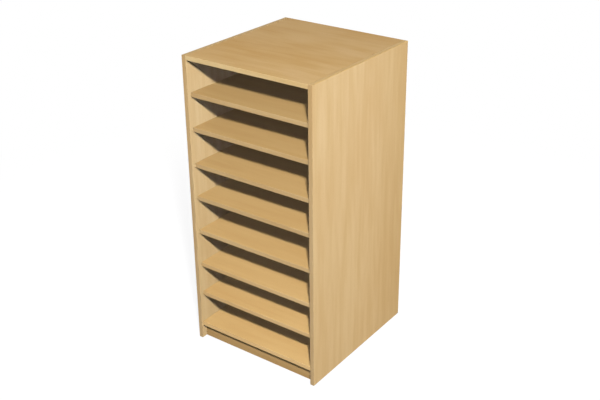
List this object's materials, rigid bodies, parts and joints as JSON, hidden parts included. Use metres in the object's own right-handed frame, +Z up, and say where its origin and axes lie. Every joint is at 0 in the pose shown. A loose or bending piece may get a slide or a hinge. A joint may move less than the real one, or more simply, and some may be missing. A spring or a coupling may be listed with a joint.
{
  "type": "open classroom storage unit",
  "caption": "Tall open storage unit of beech-faced board: sides, top, base, plinth and back panel around loose shelves that draw forwards off concealed support wires.",
  "frame": {"origin": "middle of the footprint, on the floor", "axes": "+X to the right as seen from the front, +Y from the open front to the back, +Z up"},
  "size_m": [0.6, 0.64, 1.25],
  "materials": {
    "beech_board": "beech-coloured melamine facing, fine grain, matt",
    "beech_edging": "beech-coloured plastic edging with rounded corners, matt",
    "beech_back": "beech-coloured melamine facing on thin board, matt",
    "dowel_wood": "raw fluted beech",
    "wire_steel": "zinc-plated, satin"
  },
  "bodies": {
    "carcass": {"left_side": "beech_board", "right_side": "beech_board", "top_board": "beech_board", "base_board": "beech_board", "front_plinth": "beech_board", "back_panel": "beech_back", "left_side_front_edging": "beech_edging", "left_side_top_edging": "beech_edging", "right_side_front_edging": "beech_edging", "right_side_top_edging": "beech_edging", "top_board_edging": "beech_edging", "base_board_edging": "beech_edging", "support_wire_1_left": "wire_steel", "support_wire_1_right": "wire_steel", "support_wire_2_left": "wire_steel", "support_wire_2_right": "wire_steel", "support_wire_3_left": "wire_steel", "support_wire_3_right": "wire_steel", "support_wire_4_left": "wire_steel", "support_wire_4_right": "wire_steel", "support_wire_5_left": "wire_steel", "support_wire_5_right": "wire_steel", "support_wire_6_left": "wire_steel", "support_wire_6_right": "wire_steel", "support_wire_7_left": "wire_steel", "support_wire_7_right": "wire_steel", "top_dowel_left_1": "dowel_wood", "top_dowel_left_2": "dowel_wood", "top_dowel_left_3": "dowel_wood", "top_dowel_right_1": "dowel_wood", "top_dowel_right_2": "dowel_wood", "top_dowel_right_3": "dowel_wood", "base_dowel_left_1": "dowel_wood", "base_dowel_left_2": "dowel_wood", "base_dowel_left_3": "dowel_wood", "base_dowel_right_1": "dowel_wood", "base_dowel_right_2": "dowel_wood", "base_dowel_right_3": "dowel_wood", "plinth_dowel_left_1": "dowel_wood", "plinth_dowel_left_2": "dowel_wood", "plinth_dowel_right_1": "dowel_wood", "plinth_dowel_right_2": "dowel_wood"},
    "loose_shelf_1": {"shelf_1": "beech_board", "shelf_1_edging": "beech_edging"},
    "loose_shelf_2": {"shelf_2": "beech_board", "shelf_2_edging": "beech_edging"},
    "loose_shelf_3": {"shelf_3": "beech_board", "shelf_3_edging": "beech_edging"},
    "loose_shelf_4": {"shelf_4": "beech_board", "shelf_4_edging": "beech_edging"},
    "loose_shelf_5": {"shelf_5": "beech_board", "shelf_5_edging": "beech_edging"},
    "loose_shelf_6": {"shelf_6": "beech_board", "shelf_6_edging": "beech_edging"},
    "loose_shelf_7": {"shelf_7": "beech_board", "shelf_7_edging": "beech_edging"}
  },
  "joints": [
    {"name": "shelf_1_slide", "type": "slide", "parent": "carcass", "child": "loose_shelf_1", "axis": [0, -1, 0], "range_m": [0, 0.62]},
    {"name": "shelf_2_slide", "type": "slide", "parent": "carcass", "child": "loose_shelf_2", "axis": [0, -1, 0], "range_m": [0, 0.62]},
    {"name": "shelf_3_slide", "type": "slide", "parent": "carcass", "child": "loose_shelf_3", "axis": [0, -1, 0], "range_m": [0, 0.62]},
    {"name": "shelf_4_slide", "type": "slide", "parent": "carcass", "child": "loose_shelf_4", "axis": [0, -1, 0], "range_m": [0, 0.62]},
    {"name": "shelf_5_slide", "type": "slide", "parent": "carcass", "child": "loose_shelf_5", "axis": [0, -1, 0], "range_m": [0, 0.62]},
    {"name": "shelf_6_slide", "type": "slide", "parent": "carcass", "child": "loose_shelf_6", "axis": [0, -1, 0], "range_m": [0, 0.62]},
    {"name": "shelf_7_slide", "type": "slide", "parent": "carcass", "child": "loose_shelf_7", "axis": [0, -1, 0], "range_m": [0, 0.62]}
  ]
}
